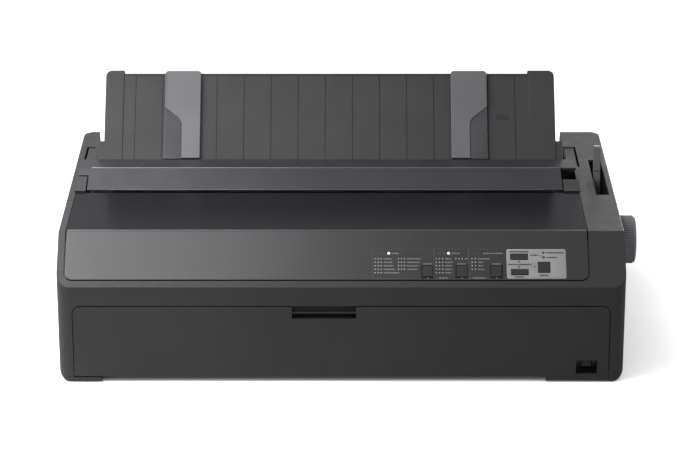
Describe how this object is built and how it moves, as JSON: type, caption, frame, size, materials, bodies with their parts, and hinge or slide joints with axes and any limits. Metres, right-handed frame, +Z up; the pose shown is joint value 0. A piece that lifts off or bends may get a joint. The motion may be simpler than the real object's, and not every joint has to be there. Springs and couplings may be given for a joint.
{
  "type": "wide carriage dot matrix printer",
  "caption": "Desktop wide carriage dot matrix printer with smoked hinged cover, drop-down front door, folding rear sheet guide, platen knob, tractors and a sloped control panel.",
  "frame": {"origin": "middle of the whole object's footprint, on the surface it stands on", "axes": "+Z up, +X to the right as seen from the front, the front faces -Y"},
  "size_m": [0.639, 0.402, 0.256],
  "materials": {
    "case_plastic": "satin moulded, fine grain",
    "panel_plastic": "satin moulded",
    "guide_plastic": "matte moulded",
    "light_plastic": "matte moulded",
    "smoked_plastic": "smoked, polished",
    "bar_plastic": "satin",
    "black_plastic": "matte",
    "white_plastic": "natural acetal",
    "clear_light": "clear",
    "rubber": "matte",
    "steel": "ground",
    "plated_steel": "zinc plated",
    "motor_metal": "black enamel",
    "aluminium": "cast",
    "board": "solder resist",
    "ribbon_cloth": "inked nylon",
    "belt_rubber": "matte"
  },
  "bodies": {
    "case": {"base_tray": "case_plastic", "rubber_feet": "rubber", "upper_case": "case_plastic", "hinge_pins": "steel", "control_panel": "panel_plastic", "status_lights": "clear_light", "control_board": "board", "power_switch_housing": "black_plastic", "left_side_plate": "plated_steel", "right_side_plate": "plated_steel", "carriage_rod": "steel", "carriage_rail": "plated_steel", "paper_feed_motor": "motor_metal", "carriage_motor": "motor_metal", "carriage_belt": "belt_rubber", "feed_belt": "belt_rubber", "tractor_support_shaft": "steel", "ribbon_cartridge": "black_plastic", "ribbon": "ribbon_cloth", "power_supply_board": "board", "main_board": "board", "ac_inlet": "black_plastic", "parallel_connector": "plated_steel", "usb_connector": "plated_steel", "slot_cover": "case_plastic", "board_screws": "steel"},
    "front_door": {"front_door": "case_plastic"},
    "printer_cover": {"printer_cover": "smoked_plastic"},
    "tension_unit": {"tension_unit": "bar_plastic"},
    "tension_roller": {"tension_roller": "black_plastic"},
    "sheet_guide": {"sheet_guide": "guide_plastic"},
    "left_edge_guide": {"left_edge_guide": "light_plastic"},
    "right_edge_guide": {"right_edge_guide": "light_plastic"},
    "platen": {"platen": "rubber", "platen_shaft": "steel", "platen_knob": "light_plastic", "platen_gear": "white_plastic"},
    "idler_gear": {"idler_gear": "white_plastic"},
    "feed_pinion": {"feed_pinion": "steel"},
    "tractor_drive_shaft": {"tractor_drive_shaft": "steel"},
    "left_tractor": {"left_tractor": "black_plastic"},
    "right_tractor": {"right_tractor": "black_plastic"},
    "left_sprocket": {"left_sprocket": "white_plastic"},
    "right_sprocket": {"right_sprocket": "white_plastic"},
    "left_gate": {"left_gate": "guide_plastic"},
    "right_gate": {"right_gate": "guide_plastic"},
    "carriage": {"carriage": "black_plastic", "print_head": "aluminium"},
    "drive_pulley": {"drive_pulley": "white_plastic"},
    "idler_pulley": {"idler_pulley": "white_plastic"},
    "ribbon_knob": {"ribbon_knob": "light_plastic"},
    "release_lever": {"release_lever": "light_plastic"},
    "thickness_lever": {"thickness_lever": "light_plastic"},
    "power_rocker": {"power_rocker": "black_plastic"},
    "font_button": {"font_button": "black_plastic"},
    "pitch_button": {"pitch_button": "black_plastic"},
    "tear_off_button": {"tear_off_button": "black_plastic"},
    "load_eject_button": {"load_eject_button": "black_plastic"},
    "line_feed_button": {"line_feed_button": "black_plastic"},
    "pause_button": {"pause_button": "black_plastic"}
  },
  "joints": [
    {"name": "front_door_hinge", "type": "hinge", "parent": "case", "child": "front_door", "pos_m": [-0.0095, -0.1973, 0.0094], "axis": [1, 0, 0], "range_deg": [0, 85]},
    {"name": "printer_cover_hinge", "type": "hinge", "parent": "case", "child": "printer_cover", "pos_m": [-0.0255, -0.038, 0.15], "axis": [-1, 0, 0], "range_deg": [0, 85]},
    {"name": "tension_unit_hinge", "type": "hinge", "parent": "case", "child": "tension_unit", "pos_m": [-0.0255, -0.0165, 0.1505], "axis": [1, 0, 0], "range_deg": [0, 60]},
    {"name": "tension_roller_spin", "type": "hinge", "parent": "tension_unit", "child": "tension_roller", "pos_m": [-0.0255, 0.002, 0.154], "axis": [1, 0, 0], "continuous": true},
    {"name": "sheet_guide_fold", "type": "hinge", "parent": "case", "child": "sheet_guide", "pos_m": [-0.0225, 0.0504, 0.159], "axis": [-1, 0, 0], "range_deg": [0, 50]},
    {"name": "left_edge_guide_slide", "type": "slide", "parent": "sheet_guide", "child": "left_edge_guide", "axis": [1, 0, 0], "range_m": [-0.044, 0.13]},
    {"name": "right_edge_guide_slide", "type": "slide", "parent": "sheet_guide", "child": "right_edge_guide", "axis": [1, 0, 0], "range_m": [-0.15, 0.044]},
    {"name": "platen_spin", "type": "hinge", "parent": "case", "child": "platen", "pos_m": [-0.0095, -0.081, 0.122], "axis": [1, 0, 0], "continuous": true},
    {"name": "idler_gear_spin", "type": "hinge", "parent": "case", "child": "idler_gear", "pos_m": [0.2435, -0.05393, 0.08973], "axis": [1, 0, 0], "continuous": true},
    {"name": "feed_pinion_spin", "type": "hinge", "parent": "case", "child": "feed_pinion", "pos_m": [0.2435, -0.04939, 0.06401], "axis": [1, 0, 0], "continuous": true},
    {"name": "tractor_shaft_spin", "type": "hinge", "parent": "case", "child": "tractor_drive_shaft", "pos_m": [-0.0095, 0.115, 0.1225], "axis": [1, 0, 0], "continuous": true},
    {"name": "left_tractor_slide", "type": "slide", "parent": "case", "child": "left_tractor", "axis": [1, 0, 0], "range_m": [-0.05, 0.12]},
    {"name": "right_tractor_slide", "type": "slide", "parent": "case", "child": "right_tractor", "axis": [1, 0, 0], "range_m": [-0.15, 0.04]},
    {"name": "left_sprocket_spin", "type": "hinge", "parent": "left_tractor", "child": "left_sprocket", "pos_m": [-0.2185, 0.115, 0.1225], "axis": [1, 0, 0], "continuous": true},
    {"name": "right_sprocket_spin", "type": "hinge", "parent": "right_tractor", "child": "right_sprocket", "pos_m": [0.1685, 0.115, 0.1225], "axis": [1, 0, 0], "continuous": true},
    {"name": "left_gate_hinge", "type": "hinge", "parent": "left_tractor", "child": "left_gate", "pos_m": [-0.2341, 0.101, 0.136], "axis": [0, -1, 0], "range_deg": [0, 100]},
    {"name": "right_gate_hinge", "type": "hinge", "parent": "right_tractor", "child": "right_gate", "pos_m": [0.1841, 0.101, 0.136], "axis": [0, 1, 0], "range_deg": [0, 100]},
    {"name": "carriage_slide", "type": "slide", "parent": "case", "child": "carriage", "axis": [1, 0, 0], "range_m": [0, 0.43]},
    {"name": "drive_pulley_spin", "type": "hinge", "parent": "case", "child": "drive_pulley", "pos_m": [-0.2755, -0.117, 0.077], "axis": [0, 0, 1], "range_deg": [-2523.72, 60]},
    {"name": "idler_pulley_spin", "type": "hinge", "parent": "case", "child": "idler_pulley", "pos_m": [0.2145, -0.117, 0.077], "axis": [0, 0, 1], "range_deg": [-2523.72, 60]},
    {"name": "ribbon_knob_spin", "type": "hinge", "parent": "case", "child": "ribbon_knob", "pos_m": [-0.2857, -0.119, 0.15], "axis": [0, 0, -1], "continuous": true},
    {"name": "release_lever_swing", "type": "hinge", "parent": "case", "child": "release_lever", "pos_m": [0.2855, 0.025, 0.112], "axis": [-1, 0, 0], "range_deg": [-45, 22]},
    {"name": "thickness_lever_swing", "type": "hinge", "parent": "case", "child": "thickness_lever", "pos_m": [-0.3065, -0.115, 0.112], "axis": [-1, 0, 0], "range_deg": [-20, 30]},
    {"name": "power_rocker_tilt", "type": "hinge", "parent": "case", "child": "power_rocker", "pos_m": [0.26035, -0.1795, 0.01775], "axis": [1, 0, 0], "range_deg": [-8, 8]},
    {"name": "font_button_press", "type": "slide", "parent": "case", "child": "font_button", "axis": [0, 0.6818, -0.7315], "range_m": [0, 0.001], "stiffness_N_per_m": 500, "springref_m": -0.0005},
    {"name": "pitch_button_press", "type": "slide", "parent": "case", "child": "pitch_button", "axis": [0, 0.6818, -0.7315], "range_m": [0, 0.001], "stiffness_N_per_m": 500, "springref_m": -0.0005},
    {"name": "tear_off_button_press", "type": "slide", "parent": "case", "child": "tear_off_button", "axis": [0, 0.6818, -0.7315], "range_m": [0, 0.001], "stiffness_N_per_m": 500, "springref_m": -0.0005},
    {"name": "load_eject_button_press", "type": "slide", "parent": "case", "child": "load_eject_button", "axis": [0, 0.6818, -0.7315], "range_m": [0, 0.001], "stiffness_N_per_m": 500, "springref_m": -0.0005},
    {"name": "line_feed_button_press", "type": "slide", "parent": "case", "child": "line_feed_button", "axis": [0, 0.6818, -0.7315], "range_m": [0, 0.001], "stiffness_N_per_m": 500, "springref_m": -0.0005},
    {"name": "pause_button_press", "type": "slide", "parent": "case", "child": "pause_button", "axis": [0, 0.6818, -0.7315], "range_m": [0, 0.001], "stiffness_N_per_m": 500, "springref_m": -0.0005}
  ],
  "couplings": [
    {"joint": "idler_gear_spin", "follows": "platen_spin", "ratio": -1.3333},
    {"joint": "feed_pinion_spin", "follows": "platen_spin", "ratio": 3},
    {"joint": "tractor_shaft_spin", "follows": "platen_spin", "ratio": 1},
    {"joint": "left_sprocket_spin", "follows": "platen_spin", "ratio": 1},
    {"joint": "right_sprocket_spin", "follows": "platen_spin", "ratio": 1},
    {"joint": "drive_pulley_spin", "follows": "carriage_slide", "rad_per_m": -100},
    {"joint": "idler_pulley_spin", "follows": "carriage_slide", "rad_per_m": -100}
  ]
}
